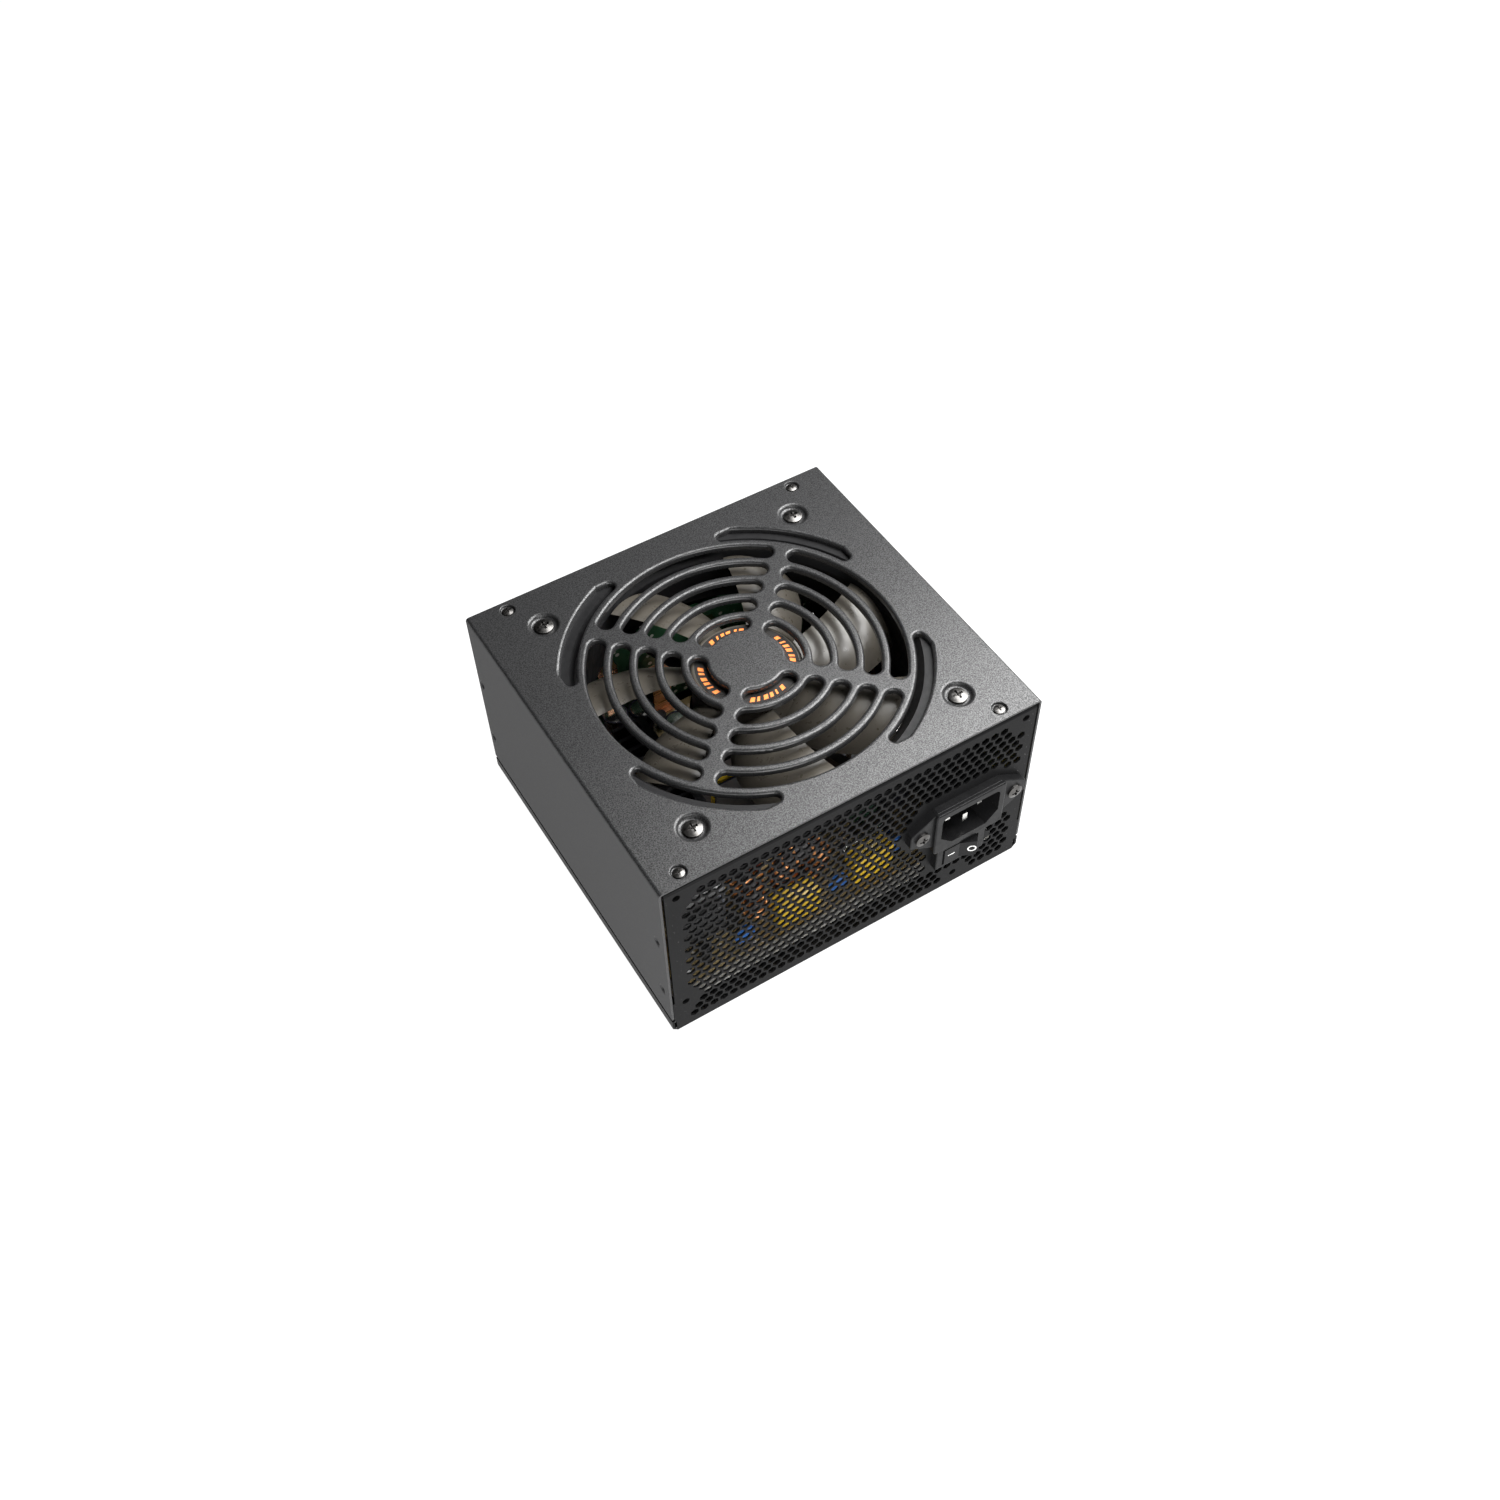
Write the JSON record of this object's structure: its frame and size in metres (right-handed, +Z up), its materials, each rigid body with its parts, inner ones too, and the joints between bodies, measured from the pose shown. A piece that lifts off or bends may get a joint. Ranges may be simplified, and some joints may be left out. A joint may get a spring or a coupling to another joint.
{
  "type": "power supply unit",
  "caption": "Boxed computer power supply with a drawn fan grille on top, honeycomb rear panel with mains inlet and rocker switch, and modular output sockets.",
  "frame": {"origin": "centre of the case's bottom face", "axes": "+Z up through the fan, -Y out of the rear panel with the mains inlet, +X towards the inlet's end"},
  "size_m": [0.15, 0.1458, 0.086],
  "materials": {
    "powder_black": "fine-textured charcoal powder coat",
    "panel_black": "fine-textured black powder coat",
    "screw_nickel": "black-nickel plated",
    "inlet_plastic": "moulded, satin",
    "rocker_plastic": "moulded, satin gloss",
    "bright_metal": "nickel plated",
    "steel": "plain",
    "brass": "plain",
    "copper_metal": "copper alloy, plain",
    "wire_black": "PVC insulation",
    "wire_green": "PVC insulation",
    "fan_frame_plastic": "glass-filled, satin",
    "fan_blade_plastic": "warm grey, satin",
    "hub_label_film": null,
    "magnet": "bonded ferrite",
    "bearing_bronze": "sintered",
    "stator_steel": "laminated",
    "enamel_copper": "enamelled copper wire",
    "circuit_board": "phenolic board",
    "green_board": "glass-epoxy board, solder mask",
    "film_clear": "polyester film",
    "ferrite": "ferrite",
    "green_core": "coated powder core",
    "yellow_tape": "polyester tape",
    "can_sleeve": "shrink sleeve",
    "ceramic_blue": "epoxy dip",
    "thermistor_green": "epoxy dip",
    "glass_clear": "clear",
    "sink_black": "black anodised",
    "chip_black": "epoxy moulding",
    "yellow_box": "moulded box"
  },
  "bodies": {
    "case": {"board_screws": "steel", "board_standoffs": "brass", "bridge_heatsink": "steel", "bridge_rectifier": "chip_black", "bulk_capacitor": "can_sleeve", "bus_bars": "copper_metal", "ceramic_capacitors": "ceramic_blue", "chassis": "panel_black", "control_board": "green_board", "cover_screws": "screw_nickel", "earth_terminal": "bright_metal", "earth_wire": "wire_green", "fan_bearing": "bearing_bronze", "fan_circuit_board": "green_board", "fan_frame": "fan_frame_plastic", "fan_header": "inlet_plastic", "fan_lead": "wire_black", "fan_plug": "inlet_plastic", "fan_screws": "screw_nickel", "filter_capacitors": "yellow_box", "fuse": "glass_clear", "inlet_housing": "inlet_plastic", "inlet_pins": "bright_metal", "inlet_screws": "screw_nickel", "insulation_sheet": "film_clear", "line_choke_cores": "ferrite", "line_choke_windings": "enamel_copper", "main_board": "circuit_board", "mains_wires": "wire_black", "motherboard_socket": "inlet_plastic", "output_capacitors": "can_sleeve", "output_choke_core": "green_core", "output_choke_winding": "enamel_copper", "output_rectifiers": "chip_black", "pfc_choke_core": "green_core", "pfc_choke_winding": "enamel_copper", "power_sockets": "inlet_plastic", "primary_heatsink": "sink_black", "primary_transistors": "chip_black", "secondary_heatsink": "sink_black", "socket_board": "green_board", "socket_pins": "bright_metal", "standby_core": "ferrite", "standby_winding": "yellow_tape", "stator_core": "stator_steel", "stator_windings": "enamel_copper", "switch_terminals": "bright_metal", "thermistor": "thermistor_green", "top_cover": "powder_black", "transformer_core": "ferrite", "transformer_winding": "yellow_tape"},
    "rotor": {"fan_impeller": "fan_blade_plastic", "fan_hub_label": "hub_label_film", "rotor_yoke": "steel", "rotor_magnet": "magnet", "fan_shaft": "steel", "shaft_clip": "wire_black"},
    "switch_rocker": {"rocker": "rocker_plastic", "switch_plunger": "steel"},
    "switch_bridge": {"contact_bridge": "copper_metal"}
  },
  "joints": [
    {"name": "fan_spin", "type": "hinge", "parent": "case", "child": "rotor", "pos_m": [0, 0, 0.07], "axis": [0, 0, 1], "continuous": true},
    {"name": "rocker_press", "type": "hinge", "parent": "case", "child": "switch_rocker", "pos_m": [0.0445, -0.0705, 0.02485], "axis": [0, 0, 1], "range_deg": [0, 24]},
    {"name": "bridge_rock", "type": "hinge", "parent": "case", "child": "switch_bridge", "pos_m": [0.0445, -0.0634, 0.02485], "axis": [0, 0, 1], "range_deg": [-9.6, 0]}
  ],
  "couplings": [
    {"joint": "bridge_rock", "follows": "rocker_press", "ratio": -0.4}
  ]
}
